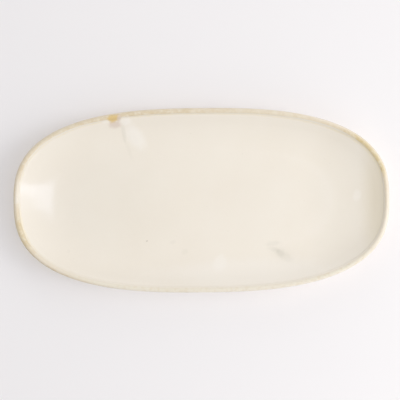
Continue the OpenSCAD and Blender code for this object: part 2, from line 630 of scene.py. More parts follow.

# %% [markdown]
# ### The marks in the well
#
# The kiln left a few marks. At the upper left the glaze crawled back from the lip and left an ochre
# spot, and beside it a thick milky run slid down the wall with a faint grey line along its edge. At
# the lower right there is a grey smudge, and elsewhere a few small smears, an iron speck and a faint
# milky drift. Painted shade darkens the floor towards both ends and the wall at the right end, painted
# light pales the wall along the near side and the glaze beside the lip, and a painted highlight lies on
# the wall at the right end. The marks could be painted on a picture that is wrapped over the plate, but
# a patch that is worked out stays crisp from near by and moves with one number. So each mark is a
# place in millimetres from the middle of the plate, along its length and then across it, with a turn
# in degrees and two half sizes.

# %% Where the spot, the run and the smudge are
BARE_SPOT = ((-64.8, 61.6), 6, 4.3, 2.6)
BARE_SIDE = ((-60.6, 61.6), 80, 2.4, 1.5)
BARE_HALO = ((-63.8, 57.2), 8, 4.4, 2.6)
RUN_HEAD = ((-56.0, 59.6), 10, 4.2, 2.9)
RUN_LOBE = ((-71.4, 60.3), 12, 2.6, 1.9)
RUN_TAIL = ((-48.9, 47.8), -56, 10.0, 5.4)
RUN_LINE = ((-57.5, 50.5), -84, 6.5, 1.5)
RUN_LINE_END = ((-54.3, 38.5), -70, 7.0, 1.4)
SMUDGE = ((60.8, -41.8), -36, 7.4, 3.2)
SMUDGE_CORE = ((58.8, -40.4), -36, 3.2, 2.1)
SMUDGE_ARC = ((53.0, -33.0), 8, 5.0, 1.7)
SMUDGE_BRANCH = ((53.8, -37.3), -24, 4.6, 1.6)
SMUDGE_HALO = ((58.5, -39.5), -35, 10.0, 5.5)
SMEAR_MIDDLE = ((-21.8, -31.2), 20, 2.0, 1.4)
SMEAR_NEAR = ((-13.0, -38.6), 30, 2.6, 1.9)
SMEAR_LEFT = ((-99.8, -37.2), 80, 1.4, 1.0)
IRON_SPECK = ((-41.2, -30.2), 30, 0.7, 0.5)

# %% Where the painted shade, the painted light, the milky drift and the sides of the lip are
# A painted highlight on the wall at the right end
PAINTED_HIGHLIGHT_SPOT = ((116.4, 2.4), 80, 4.0, 2.8)
PALE_DRIFT = ((13.3, -47.1), 70, 6.0, 4.5)
# Painted light on the wall along the near side
PAINTED_LIGHT_SIDE = ((33.0, -54.0), 2, 62.0, 9.0)
# Painted shade on the floor towards both ends
PAINTED_SHADE_LEFT = ((-70.0, 0.0), 0, 40.0, 30.0)
PAINTED_SHADE_RIGHT = ((100.0, 0.0), 90, 38.0, 17.0)
# Painted shade on the wall at the right end
PAINTED_SHADE_END = ((135.0, 0.0), 90, 52.0, 12.5)
NEAR_LIP = ((0.0, -72.0), 0, 150.0, 30.0)
NEAR_CORNER = ((112.0, -50.0), 30, 30.0, 18.0)
FAR_LIP = ((15.0, 72.0), 0, 150.0, 28.0)
FAR_CORNER = ((122.0, 42.0), -50, 42.0, 22.0)

# %% Where the toasting of the lip changes
REACH_LEFT = ((-137.0, -15.0), 80, 14.0, 9.0)
REACH_RIGHT = ((92.0, 56.0), -26, 84.0, 34.0)
LATE_LEFT = ((-108.0, 50.0), 22, 32.0, 18.0)
LATE_RIGHT = ((92.0, 60.0), -16, 26.0, 14.0)
# Partly painted shade: the lip's outer edge at the left faces away from the light
LINE_LEFT = ((-126.0, -22.0), -40, 56.0, 40.0)
GOLD_LEFT = ((-134.0, -27.0), 70, 16.0, 9.0)
GOLD_RIGHT = ((126.5, 39.0), -53, 29.0, 10.0)

# %% [markdown]
# ### Cream glaze
#
# The glaze could be one flat cream, but stoneware glaze never fires so even. Two close tones are mixed
# by broad clouds and fine freckles, pinholes leave grey points, and a slight orange peel breaks up the
# sheen. The glaze outside the plate and the wash on the lip start from the same cream.

# %% Cream glaze
GLAZE_IOR = 1.55
GLAZE_BUMP = 0.01 * MM
# Least and most roughness
SATIN = (0.11, 0.15)
# How much of the mix of two tones is freckles, and how much a pinhole greys and dents the glaze
FRECKLED = 0.25
PINHOLE_TINT = 0.25
PINHOLE_DENT = 0.8


def cream_glaze(name):
    """The glaze before any marks: its finish, its clouds and its height."""
    glaze = Finish(name, CREAM_DEEP)
    cloud = glaze.effect(mottling, Scale=28.0, Detail=4.0, Spread=2.2)
    freckle = glaze.effect(mottling, Scale=900.0, Detail=2.0, Spread=2.0)
    glaze.lay(CREAM_PALE, cloud * (1 - FRECKLED) + freckle * FRECKLED)
    pinholes = glaze.effect(specks, Scale=260.0, Share=0.12, Size=0.12)
    peel = glaze.effect(mottling, Scale=320.0, Detail=2.0, Spread=1.0)
    glaze.lay(GREY_OLIVE, pinholes * PINHOLE_TINT)
    glaze.set(IOR=GLAZE_IOR)
    return glaze, cloud, peel - pinholes * PINHOLE_DENT


outside_glaze, cloud, height = cream_glaze("cream_glaze_outside")
outside_glaze.fire(varied(cloud, *SATIN), height, GLAZE_BUMP)

# %% Cream glaze in the well, with painted shade at the right end and painted light beside the lip
END_SHADE_AMOUNT = 0.62
LIP_LIT_WIDTH = 2.6 * MM
LIP_LIT_AMOUNTS = ((NEAR_LIP, 0.45), (FAR_LIP, 0.55))

well_finish, cloud, height = cream_glaze("cream_glaze_well")
# Painted shade: the wall at the right end, which faces away from the light, is darkened with a tan tint
well_finish.lay(TAN_SHADE, well_finish.mark(PAINTED_SHADE_END, EVEN) * END_SHADE_AMOUNT)
lip_distance = well_finish.attribute("edge_distance")
# Painted light: beside the lip the glaze is lightened where the top of the wall is in shade
lit_beside_lip = fading(lip_distance, LIP_LIT_WIDTH)
for place, amount in LIP_LIT_AMOUNTS:
    well_finish.lay(PAINTED_LIGHT_CREAM, well_finish.mark(place, EVEN) * lit_beside_lip * amount)

# %% Toasting that reaches from the lip into the well
REACH = (0.25 * MM, 1.55 * MM)
FURTHER_REACH = ((REACH_RIGHT, 0.9 * MM), (REACH_LEFT, 1.2 * MM))

fray = well_finish.effect(mottling, Scale=260.0, Detail=4.0, Spread=2.6)
reach = varied(fray, *REACH)
for place, further in FURTHER_REACH:
    reach = reach + well_finish.mark(place, EVEN) * further
toasted = fading(lip_distance, reach) * well_finish.attribute("toast")
well_finish.lay(CREAM_YELLOW, toasted)

# %% Marks laid over the glaze
# Painted shade on the floor towards both ends, where the floor's curve turns it from the light
PAINTED_SHADES = ((PAINTED_SHADE_LEFT, 0.085), (PAINTED_SHADE_RIGHT, 0.11))
GREYS = (
    (SMUDGE_HALO, 0.05),
    (SMUDGE, 0.15),
    (SMUDGE_CORE, 0.19),
    (SMUDGE_ARC, 0.12),
    (SMUDGE_BRANCH, 0.12),
    (RUN_LINE, 0.17),
    (RUN_LINE_END, 0.06),
    (SMEAR_MIDDLE, 0.08),
    (SMEAR_NEAR, 0.08),
    (SMEAR_LEFT, 0.08),
)
# The milky run and drift, with painted light on the near wall and a painted highlight on the right wall
MILK_AND_LIGHT_MARKS = (
    (RUN_TAIL, 0.62),
    (RUN_LOBE, 0.6),
    (PAINTED_HIGHLIGHT_SPOT, 0.42),
    (PALE_DRIFT, 0.45),
    (PAINTED_LIGHT_SIDE, 0.4),
)
MARKS_AND_PAINTED_LIGHT = (
    (GREY_OLIVE, VAGUE, PAINTED_SHADES),
    (GREY_OLIVE, RAGGED, GREYS),
    (MILK_AND_LIGHT_PAINT, SOFT, MILK_AND_LIGHT_MARKS),
    (BROWN_PINK, FRAYED, [(BARE_HALO, 0.8)]),
    (IRON, RAGGED, [(IRON_SPECK, 0.3)]),
)
well_finish.lay_marks(MARKS_AND_PAINTED_LIGHT)
print("Marks in the well:", sum(len(marks) for _, _, marks in MARKS_AND_PAINTED_LIGHT))

# %% The bare spot and the head of the run
BESIDE_SPOT = (
    (BROWN_PINK, FRAYED, [(BARE_SIDE, 0.7)]),
    (MILK_AND_LIGHT_PAINT, RAGGED, [(RUN_HEAD, 0.6)]),
)
# How much rougher than the glaze these are
BARE_DRYNESS = 0.2
TOAST_DRYNESS = 0.3


def crawled(finish):
    """The bare spot at the lip and the head of the run beside it, which lie across two coats."""
    bare = finish.mark(BARE_SPOT, TORN)
    finish.lay(OCHRE, bare)
    finish.lay_marks(BESIDE_SPOT)
    return bare


bare = crawled(well_finish)
dryness = toasted * TOAST_DRYNESS + bare * BARE_DRYNESS
well_finish.fire((varied(cloud, *SATIN) + dryness).clamped(), height, GLAZE_BUMP)

# %% [markdown]
# ### Toasted wash
#
# Round the lip the glaze was wiped back to a thin skin. Where the flame reached it, along the far side
# and round two corners, it toasted tan and golden and stayed dry, with pale grit from the clay showing
# in it. On the near side it melted as smooth as the glaze, apart from small dots of grit; there painted
# shade darkens the inside of the lip's top and painted light pales its inner edge. A thin tan line runs
# along the outer edge at the left, darkened as painted shade where that edge faces away from the light.
# Noise alone would toast the lip at random places, so each point of the lip carries two numbers that
# the finish reads: how far it toasted, and its share of the way over the lip, from the edge of the
# well's glaze to the edge of the wall's.

# %% Where the wash toasted
# Shares of the way over the lip: the broken inner edge and the fades towards the outer edge
EDGE_START = 0.03
EDGE_WIDTHS = (0.02, 0.10)
EDGE_SHIFTS = ((LATE_LEFT, 0.07), (LATE_RIGHT, 0.07), (REACH_LEFT, -0.05))
OUTER_FADE = (0.30, 0.65)
CORNER_FADE = (0.26, 0.46)
# How much of the toasting a fade takes away, and how far its strength drifts
FADED = 0.6
TOAST_STRENGTHS = (0.75, 1.25)

wash, cloud, height = cream_glaze("toasted_wash")
across = wash.attribute("across")
drift = wash.effect(mottling, Scale=120.0, Detail=3.0, Spread=2.8)
start = EDGE_START
for place, shift in EDGE_SHIFTS:
    start = wash.mark(place, EVEN) * shift + start
inner_edge = stage(across, start, start + varied(drift, *EDGE_WIDTHS))
outer_fade = 1 - stage(across, *OUTER_FADE) * FADED
corner_fade = 1 - stage(across, *CORNER_FADE) * wash.mark(FAR_CORNER, WAVERING) * FADED
reached = wash.attribute("toast") * varied(drift, *TOAST_STRENGTHS)
toasted = (reached * inner_edge * outer_fade * corner_fade).clamped()

# %% The tan line along the outer edge, partly painted shade
LINE_START = (0.27, 0.39)
LINE_STRENGTHS = (0.45, 1.25)

# The line is tan wash, laid darker as painted shade where the outer edge faces away from the light
line = stage(across, *LINE_START) * wash.mark(LINE_LEFT, WAVERING) * varied(drift, *LINE_STRENGTHS)
toasted = toasted.math("MAXIMUM", line)

# %% The near side, which melted smooth, with painted shade and painted light
# Painted shade darkens the inside of its top with a little olive, painted light pales its inner edge,
# and dots stand in it
TOP_SHADE_RISE = (0.09, 0.21)
TOP_SHADE_FALL = (0.32, 0.57)
EDGE_LIGHT_SPAN = 0.13
DOT_LEVELS = (0.55, 0.8833)
DOTS_FULL = 0.2
TOP_SHADE_AMOUNT = 0.4125
EDGE_LIGHT_PAINT = 0.77
DOT_AMOUNT = 0.22

flecks = wash.effect(mottling, Scale=420.0, Detail=3.0, Spread=3.2)
near = wash.mark(NEAR_LIP, EVEN) + wash.mark(NEAR_CORNER, EVEN)
shaded_inner_top = stage(across, *TOP_SHADE_RISE) * (1 - stage(across, *TOP_SHADE_FALL))
# Painted shade over the inside of the lip's top
wash.lay(SHADE_OLIVE_CREAM, shaded_inner_top * near * TOP_SHADE_AMOUNT)
# Painted light at the lip's inner edge
wash.lay(PAINTED_LIGHT_CREAM, fading(across, EDGE_LIGHT_SPAN) * near * EDGE_LIGHT_PAINT)
dots = stage(flecks, *DOT_LEVELS) * stage(across, 0, DOTS_FULL)
wash.lay(WASH_TAN, dots * near * DOT_AMOUNT)

# %% Tan, gold and grit
GOLD_AMOUNTS = ((GOLD_LEFT, 0.34), (GOLD_RIGHT, 0.7225))
FLECK_AMOUNT = 0.6
GRIT_AMOUNT = 0.8
IRON_AMOUNT = 0.35

wash.lay(WASH_TAN, toasted)
for place, amount in GOLD_AMOUNTS:
    wash.lay(WASH_GOLD, wash.mark(place, FRAYED) * toasted * amount)
wash.lay(GRIT_PALE, flecks * flecks * toasted * FLECK_AMOUNT)
grit = wash.attribute("grit")
wash.lay(GRIT_PALE, grit * GRIT_AMOUNT)
bare = crawled(wash)
iron = wash.effect(specks, Scale=450.0, Share=0.05, Size=0.22) * toasted
wash.lay(IRON, iron * IRON_AMOUNT)

# %% Dry where it toasted
WASH_SATIN = (0.15, 0.19)
WASH_DRYNESS = 0.35
WASH_BUMP = 0.15 * MM
# The glaze's own height counts for less in the deeper bump of the sand
PEEL_SHARE = 0.07

dryness = (toasted + grit) * WASH_DRYNESS + bare * BARE_DRYNESS
sand = wash.effect(grain, Scale=1400.0, Lumps=0.5) * toasted
wash.fire((varied(cloud, *WASH_SATIN) + dryness).clamped(), sand + height * PEEL_SHARE, WASH_BUMP)

# %% [markdown]
# ### Bare clay
#
# The foot is unglazed. Stoneware clay fires to a sandy buff with darker, toasted drifts and grains of
# pale grit and iron. The grains are too many to model, so here they are colour and bump.

# %% Bare clay
DRIFT_AMOUNT = 0.5
SAND_AMOUNT = 0.6
CLAY_IRON_AMOUNT = 0.7
CLAY_ROUGHNESS = (0.8, 0.9)
CLAY_BUMP = 0.25 * MM

clay = Finish("bare_clay", CLAY_BUFF)
drift = clay.effect(mottling, Scale=60.0, Detail=4.0, Spread=2.6)
clay.lay(CLAY_TOAST, drift * DRIFT_AMOUNT)
clay.lay(CLAY_SAND, clay.effect(specks, Scale=900.0, Share=0.35, Size=0.35) * SAND_AMOUNT)
clay.lay(IRON, clay.effect(specks, Scale=500.0, Share=0.1, Size=0.25) * CLAY_IRON_AMOUNT)
sand = clay.effect(grain, Scale=1300.0, Lumps=0.4)
clay.fire(varied(drift, *CLAY_ROUGHNESS), sand, CLAY_BUMP)

# %% [markdown]
# ## The pressed shell
#
# The shell is the clay that all the coats lie on. It could be a disc that is sculpted by hand, but the
# coats have to fit it closely, so it comes from the same paths as they do. Two sheets make it: the
# inside, from the middle of the floor up to the top of the lip, and the outside, from the middle of
# the level underside up to the same line. They share that line, so merging it closes the solid.

# %% A sheet over the floor and up the wall
# The ring of a sheet where the floor ends, and how strongly points crowd towards the top of the wall
FLOOR_RING = 0.5
CROWDING = 1.6


def up_wall(ring, wall_ring, top_share):
    """Share of the wall that a ring has climbed, up to the top share at the ring wall_ring."""
    return top_share * (1 - (1 - stage(ring, FLOOR_RING, wall_ring)) ** CROWDING)


def dish_path(rule, ring, wall_share, floor_lift, lip_lift, sag):
    """Floor out to its ring, then up the wall by its share."""
    floor_share = stage(ring, 0, FLOOR_RING)
    end_inset, side_inset, level = wall_path(rule, floor_lift, lip_lift, wall_share)
    inwards = 1 - floor_share
    return (
        end_inset + inwards * rule.size("Floor half length"),
        side_inset + inwards * rule.size("Floor half width"),
        level - sag * (1 - floor_share ** 2) ** 2,
    )


# %% Make the shell
SHELL_POINTS = 161
LIP_RING = 0.9

shell_rule = Rule("Pressed shell")
shell_grid = grid(shell_rule, SHELL_POINTS, SHELL_POINTS)
unit_x, unit_y, ring = sheet_coordinates(shell_rule)
wall_share, lip_share = up_wall(ring, LIP_RING, 1), stage(ring, LIP_RING, 1)


def shell_sheet(floor_lift, lip_lift, sag, turn):
    """One side of the shell, with the lip's turn where the wall ends and the lip's top at the edge."""
    path = dish_path(shell_rule, ring, wall_share, floor_lift, lip_lift, sag)
    lip_start, lip_now = lip_path(shell_rule, 0, turn), lip_path(shell_rule, 0, turn * (1 - lip_share))
    return placed_by(shell_rule, shell_grid, unit_x, unit_y, carried_on(path, (lip_now, lip_start)))


slope = shell_rule.size("Lip slope")
floor_drop, lip_drop = -shell_rule.size("Floor thickness"), -shell_rule.size("Lip thickness")
inner = shell_sheet(0, 0, shell_rule.size("Floor sag"), slope)
outer = shell_sheet(floor_drop, lip_drop, 0, slope - math.pi)
pressed_shell = shell_rule.make("pressed_shell", closed(shell_rule, inner, outer), clay.material)

# %% [markdown]
# ## Relief on a coat
#
# Glaze is never quite even. A bump would only shade it, so after its points are placed, a coat is
# pushed along its normals by a small relief. The Position node then gives metres on the plate, not
# places on the grid, so the marks can be put where they are. An attribute that was stored on the grid
# keeps the distance from the coat's edge, and holds the relief at nothing there, where the face and
# the back of the coat have to meet.

# %% Store, read and push
def stored(rule, mesh, name, value):
    inputs = {"Geometry": mesh, "Name": name, "Value": value}
    return rule.add("GeometryNodeStoreNamedAttribute", inputs, data_type="FLOAT", domain="POINT")


def kept(rule, name):
    return rule.add("GeometryNodeInputNamedAttribute", {"Name": name}, data_type="FLOAT")


def pushed(rule, mesh, relief):
    normal = rule.add("GeometryNodeInputNormal")
    offset = rule.add("ShaderNodeVectorMath", {0: normal, "Scale": relief}, operation="SCALE")
    return rule.add("GeometryNodeSetPosition", {"Geometry": mesh, "Offset": offset})


# %% Forms of relief
# How fast a hump falls away: under a quarter of it is left where its mark ends
HUMP_FALL = 1.5


def hump(rule, place):
    """A smooth hump over a mark, 1 at its middle."""
    centre, turn, half_length, half_width = place
    angle = math.radians(turn)
    right, up = rule.x - centre[0] * MM, rule.y - centre[1] * MM
    along = (right * math.cos(angle) + up * math.sin(angle)) / (half_length * MM)
    aside = (up * math.cos(angle) - right * math.sin(angle)) / (half_width * MM)
    return (-(along ** 2 + aside ** 2) * HUMP_FALL).math("EXPONENT")


def sway(rule, scale):
    """A soft rise and fall about nothing, at a scale in lumps a metre."""
    return rule.noise(scale, detail=1.0) - 0.5


# %% How far the flame toasted the lip
# Strengths at angles round the oval, in degrees from the right end towards the far side
TOAST_ROUND = (
    (-180, 0.20),
    (-172, 0.75),
    (-160, 0.95),
    (-150, 0.65),
    (-135, 0.27),
    (-120, 0.12),
    (-110, 0.10),
    (-90, 0.10),
    (-45, 0.12),
    (-15, 0.35),
    (0, 0.45),
    (14, 0.60),
    (27, 1.00),
    (45, 0.90),
    (65, 0.65),
    (90, 0.80),
    (110, 1.00),
    (135, 0.85),
    (155, 0.85),
    (168, 0.42),
    (180, 0.20),
)


def toast_strength(rule, unit_x, unit_y):
    """A Float Curve that turns a direction round the oval into a strength from 0 to 1."""
    turn = unit_y.math("ARCTAN2", unit_x) / math.tau + 0.5
    strength = rule.add("ShaderNodeFloatCurve", {"Value": turn})
    mapping = strength.socket.node.mapping
    points = mapping.curves[0].points
    shares = [(degrees / 360 + 0.5, value) for degrees, value in TOAST_ROUND]
    points[0].location, points[1].location = shares[0], shares[-1]
    for share, value in shares[1:-1]:
        points.new(share, value).handle_type = "AUTO_CLAMPED"
    mapping.update()
    return strength


# %% [markdown]
# ## Glaze in the well
#
# The coat lies on the clay of the floor and the wall. It could be the shell's own skin with a glossy
# finish, but a real coat has a thickness that varies. It thins to the wash's thickness at its edge,
# where it was wiped, and further in it gathers in a low swell, as melted glaze does. It is thinner on
# the turn from the floor to the wall, heavier along the run and thin over the bare spot.

# %% Thickness of the glaze in the well
WIPED_WIDTH = 6 * MM
# Melted glaze runs off the turn from the floor to the wall, so the two join in one even slope.
# The peak of the curve is scaled to 1.
DRAINED_OFF = 0.22 * MM
DRAIN_START, DRAIN_END, DRAIN_PEAK = 0.14, 0.57, 0.0346

well_rule = Rule("Glaze in the well")
unit_x, unit_y, ring = sheet_coordinates(well_rule)
glaze, thin = well_rule.size("Glaze thickness"), well_rule.size("Wash thickness")
top_share = well_rule.size("Inside share")
wall_share = up_wall(ring, 1, top_share)
edge_distance = (top_share - wall_share) * well_rule.size("Wall pull")
lift = thin + (glaze - thin) * eased(stage(edge_distance, 0, WIPED_WIDTH))
drain = stage(ring, DRAIN_START, DRAIN_END)
lift = lift - drain ** 3 * (1 - drain) ** 2 * (DRAINED_OFF / DRAIN_PEAK)

# %% Face and back of the glaze in the well
WELL_POINTS = 201

well_grid = grid(well_rule, WELL_POINTS, WELL_POINTS)
well_grid = stored(well_rule, well_grid, "edge_distance", edge_distance)
well_grid = stored(well_rule, well_grid, "toast", toast_strength(well_rule, unit_x, unit_y))


def well_sheet(lift):
    path = dish_path(well_rule, ring, wall_share, lift, lift, well_rule.size("Floor sag"))
    return placed_by(well_rule, well_grid, unit_x, unit_y, path)


face = well_sheet(lift)
back = well_sheet(thin * on_edge(1 - ring))

# %% Make the glaze in the well
SWELL_PLACE, SWELL_WIDTH, SWELL_HEIGHT = 5 * MM, 2.5 * MM, 0.04 * MM
SWAY_SCALE, SWAY_HEIGHT = 26.0, 0.16 * MM
RIPPLE_SCALE, RIPPLE_HEIGHT = 110.0, 0.035 * MM
MARK_HEIGHTS = ((RUN_TAIL, 0.18 * MM), (RUN_HEAD, 0.2 * MM), (BARE_SPOT, -0.12 * MM))
RELIEF_FADE = 2 * MM

inside = kept(well_rule, "edge_distance")
swell = (-((inside - SWELL_PLACE) / SWELL_WIDTH) ** 2).math("EXPONENT")
relief = swell * SWELL_HEIGHT + sway(well_rule, SWAY_SCALE) * SWAY_HEIGHT
relief = relief + sway(well_rule, RIPPLE_SCALE) * RIPPLE_HEIGHT
for place, rise in MARK_HEIGHTS:
    relief = relief + hump(well_rule, place) * rise
face = pushed(well_rule, face, relief * stage(inside, 0, RELIEF_FADE))
glazed_well = well_rule.make("glazed_well", closed(well_rule, face, back), well_finish.material)

# %% [markdown]
# ## Toasted lip
#
# The wash goes over the lip as a hoop, from the edge of the well's glaze to the edge of the wall's. It
# is pitted all over, always inwards, so that the plate keeps its size. Grains of grit from the clay
# stand in it. Placing each by hand would be slow, so Distribute Points on Faces scatters small
# twenty-sided stones with a fixed seed, and they are sunk until their tops lie where the wash would
# be without its pits.

# %% The wash over the lip
LIP_COLUMNS, LIP_ROWS = 901, 41

lip_rule = Rule("Toasted lip")
unit_x, unit_y, across = hoop_coordinates(lip_rule)
lip_grid = stored(lip_rule, grid(lip_rule, LIP_COLUMNS, LIP_ROWS), "across", across)
lip_grid = stored(lip_rule, lip_grid, "toast", toast_strength(lip_rule, unit_x, unit_y))
lip_start, lip_end = wash_inside / wash_width, 1 - wash_outside / wash_width


def wash_sheet(coat):
    slope = lip_rule.size("Lip slope")
    inside_wall = 1 - (1 - lip_rule.size("Inside share")) * (1 - stage(across, 0, lip_start))
    turn = slope - stage(across, lip_start, lip_end) * math.pi
    outside_wall = 1 - (1 - lip_rule.size("Outside share")) * stage(across, lip_end, 1)
    floor_drop = -coat - lip_rule.size("Floor thickness")
    lip_drop = -coat - lip_rule.size("Lip thickness")
    path = carried_on(
        wall_path(lip_rule, coat, coat, inside_wall),
        (lip_path(lip_rule, coat, turn), lip_path(lip_rule, coat, slope)),
        (
            wall_path(lip_rule, floor_drop, lip_drop, outside_wall),
            lip_path(lip_rule, coat, slope - math.pi),
        ),
    )
    return placed_by(lip_rule, lip_grid, unit_x, unit_y, path)


coat = lip_rule.size("Wash thickness")
smooth_face = wash_sheet(coat)
back = wash_sheet(coat * on_edge(from_edge(across)))

# %% Pits
# Lumps a metre, and the share of the way over the lip where the pits fade in
FINE_PITS, BROAD_PITS = 900.0, 160.0
PIT_DEPTH = 0.1 * MM
PIT_FADE = 0.16

over_lip, dry = kept(lip_rule, "across"), kept(lip_rule, "toast")
fine_pits = lip_rule.noise(FINE_PITS) * PIT_DEPTH
broad_pits = lip_rule.noise(BROAD_PITS) * PIT_DEPTH
pits = (fine_pits * dry + broad_pits) * stage(from_edge(over_lip), 0, PIT_FADE)
lip_skin = closed(lip_rule, pushed(lip_rule, smooth_face, -pits), back)

# %% Grit
GRAIN_RADIUS = 0.17 * MM
LEAST_WIDTH, MOST_WIDTH = 0.5, 1.0
GRAINS_PER_SQUARE_METRE = 300000.0
GRIT_SEED, WIDTH_SEED = 11, 5
# Stones keep to the top of the lip, and to where it is toasted
GRIT_START, GRIT_END = 0.1, 0.62

on_top = over_lip.math("GREATER_THAN", GRIT_START) * over_lip.math("LESS_THAN", GRIT_END)
scatter_inputs = {
    "Mesh": smooth_face,
    "Selection": on_top,
    "Density": lip_rule.given("Grains per square metre", GRAINS_PER_SQUARE_METRE) * dry,
    "Seed": lip_rule.count("Grit seed", GRIT_SEED),
}
points = lip_rule.add("GeometryNodeDistributePointsOnFaces", scatter_inputs, output="Points")
normal = Field(lip_rule.tree, points.socket.node.outputs["Normal"])
radius = lip_rule.given("Grain radius", GRAIN_RADIUS)
stone = lip_rule.add("GeometryNodeMeshIcoSphere", {"Radius": radius, "Subdivisions": 1})
stone = stored(lip_rule, stone, "grit", 1.0)

# %% Sink the stones into the wash
width_seed = lip_rule.count("Width seed", WIDTH_SEED)
widths = {"Min": LEAST_WIDTH, "Max": MOST_WIDTH, "Seed": width_seed}
width = lip_rule.add("FunctionNodeRandomValue", widths, output="Value", data_type="FLOAT")
turns = {"Min": (0.0, 0.0, 0.0), "Max": (math.tau, math.tau, math.tau)}
turn = lip_rule.add("FunctionNodeRandomValue", turns, output="Value", data_type="FLOAT_VECTOR")
sink = lip_rule.add("ShaderNodeVectorMath", {0: normal, "Scale": -(radius * width)}, operation="SCALE")
points = lip_rule.add("GeometryNodeSetPosition", {"Geometry": points, "Offset": sink})
stone_inputs = {"Points": points, "Instance": stone, "Rotation": turn, "Scale": width}
stones = lip_rule.add("GeometryNodeInstanceOnPoints", stone_inputs)

# %% Make the lip
toasted_lip = lip_rule.make("toasted_lip", lip_rule.joined(lip_skin, stones), wash.material)

# %% [markdown]
# ## Glaze outside the wall
#
# The same glaze covers the outside of the wall and a narrow shelf under it, and stops short of the foot
# so that the plate doesn't stick to the kiln's shelf. A Solidify modifier could thicken some of the
# shell's faces, but its edge would be square. As a hoop, like the wash, the coat gets round edges.

# %% The glaze outside the wall
WALL_COLUMNS, WALL_ROWS = 481, 61
# Shares of the way across: where the wall ends and the shelf starts, and how wide a round edge is
SHELF_START = 0.88
WALL_EDGE = 0.03
# How strongly the points crowd towards the top of the wall
WALL_CROWDING = 1.4

wall_rule = Rule("Glaze outside the wall")
unit_x, unit_y, across = hoop_coordinates(wall_rule)
wall_grid = stored(wall_rule, grid(wall_rule, WALL_COLUMNS, WALL_ROWS), "across", across)
down_wall = stage(across, 0, SHELF_START) ** WALL_CROWDING
wall_share = wall_rule.size("Outside share") * (1 - down_wall)
shelf_width = wall_rule.size("Foot shelf") - wall_rule.size("Glaze stop")
shelf = shelf_width * stage(across, SHELF_START, 1)


def outside_sheet(lift):
    floor_drop = -lift - wall_rule.size("Floor thickness")
    lip_drop = -lift - wall_rule.size("Lip thickness")
    end_inset, side_inset, level = wall_path(wall_rule, floor_drop, lip_drop, wall_share)
    path = end_inset + shelf, side_inset + shelf, level
    return placed_by(wall_rule, wall_grid, unit_x, unit_y, path)


# %% Make the glaze outside the wall
UNDER_SWAY, UNDER_HEIGHT = 40.0, 0.12 * MM
WALL_RELIEF_FADE = 0.05

glaze, thin = wall_rule.size("Glaze thickness"), wall_rule.size("Wash thickness")
face = outside_sheet(thin + (glaze - thin) * rounded(stage(from_edge(across), 0, WALL_EDGE)))
back = outside_sheet(thin * on_edge(from_edge(across)))
faded_in = stage(from_edge(kept(wall_rule, "across")), 0, WALL_RELIEF_FADE)
face = pushed(wall_rule, face, sway(wall_rule, UNDER_SWAY) * UNDER_HEIGHT * faded_in)
glazed_wall = wall_rule.make("glazed_wall", closed(wall_rule, face, back), outside_glaze.material)

# %% [markdown]
# ## Glaze under the floor
#
# Inside the foot the underside carries a panel of glaze. A flat disc would do, but melted glaze has a
# round edge. So it is a square grid made oval once more, with its face downwards, and here the sheet
# against the clay is the one that isn't turned over.

# %% Make the glaze under the floor
BASE_POINTS = 121
# Shares of the sheet over which the edge is round and the relief fades in
BASE_EDGE = 0.04
BASE_RELIEF_FADE = 0.1

base_rule = Rule("Glaze under the floor")
unit_x, unit_y, ring = sheet_coordinates(base_rule)
base_grid = stored(base_rule, grid(base_rule, BASE_POINTS, BASE_POINTS), "ring", ring)
inset = base_rule.size("Foot width") + base_rule.size("Glaze stop")
half_length = (base_rule.size("Foot half length") - inset) * ring
half_width = (base_rule.size("Foot half width") - inset) * ring
level = base_rule.size("Foot height")
base_lift = base_rule.size("Glaze thickness") * rounded(stage(1 - ring, 0, BASE_EDGE))
against = placed(base_rule, base_grid, unit_x, unit_y, half_length, half_width, level)
under = placed(base_rule, base_grid, unit_x, unit_y, half_length, half_width, level - base_lift)
faded_in = stage(1 - kept(base_rule, "ring"), 0, BASE_RELIEF_FADE)
under = pushed(base_rule, under, sway(base_rule, UNDER_SWAY) * UNDER_HEIGHT * faded_in)
glazed_base = base_rule.make("glazed_base", closed(base_rule, against, under), outside_glaze.material)

# %% [markdown]
# ## The foot
#
# The foot is a strip of clay, round-shouldered where it was smoothed on and ground flat where it
# stands. It could be a curve with a bevel, but a hoop follows the same oval as the glaze beside it.
# Its section is a deep rounded U whose bottom is cut off at the table by taking the higher of two
# levels.

# %% Make the foot
FOOT_COLUMNS, FOOT_ROWS = 481, 37
# Squareness of the U, and how far it would hang below the table, as a share of the foot's height
SECTION_POWER = 3.0
GROUND_OFF = 0.08

foot_rule = Rule("Bare foot")
unit_x, unit_y, across = hoop_coordinates(foot_rule)
foot_grid = grid(foot_rule, FOOT_COLUMNS, FOOT_ROWS)
foot_wide, foot_high = foot_rule.size("Foot width"), foot_rule.size("Foot height")
softness = 2 * foot_rule.given("Section power", SECTION_POWER) ** -1
ground_off = foot_rule.given("Ground off", GROUND_OFF)
round_u = across * math.pi
side, drop = round_u.math("COSINE"), round_u.math("SINE")
inset = foot_wide * 0.5 * (1 - side.math("SIGN") * abs(side) ** softness)
foot_level = (foot_high * (1 - (ground_off + 1) * drop ** softness)).math("MAXIMUM", 0)


def foot_sheet(level):
    half_length = foot_rule.size("Foot half length") - inset
    half_width = foot_rule.size("Foot half width") - inset
    return placed(foot_rule, foot_grid, unit_x, unit_y, half_length, half_width, level)


foot_skin = closed(foot_rule, foot_sheet(foot_level), foot_sheet(foot_high))
bare_foot = foot_rule.make("bare_foot", foot_skin, clay.material)

# %% [markdown]
# ## Standing for the CAD nodes
#
# Each dense mesh replaces the CAD node that it was made for. The plate has no joints, so every piece
# rides on the one body.

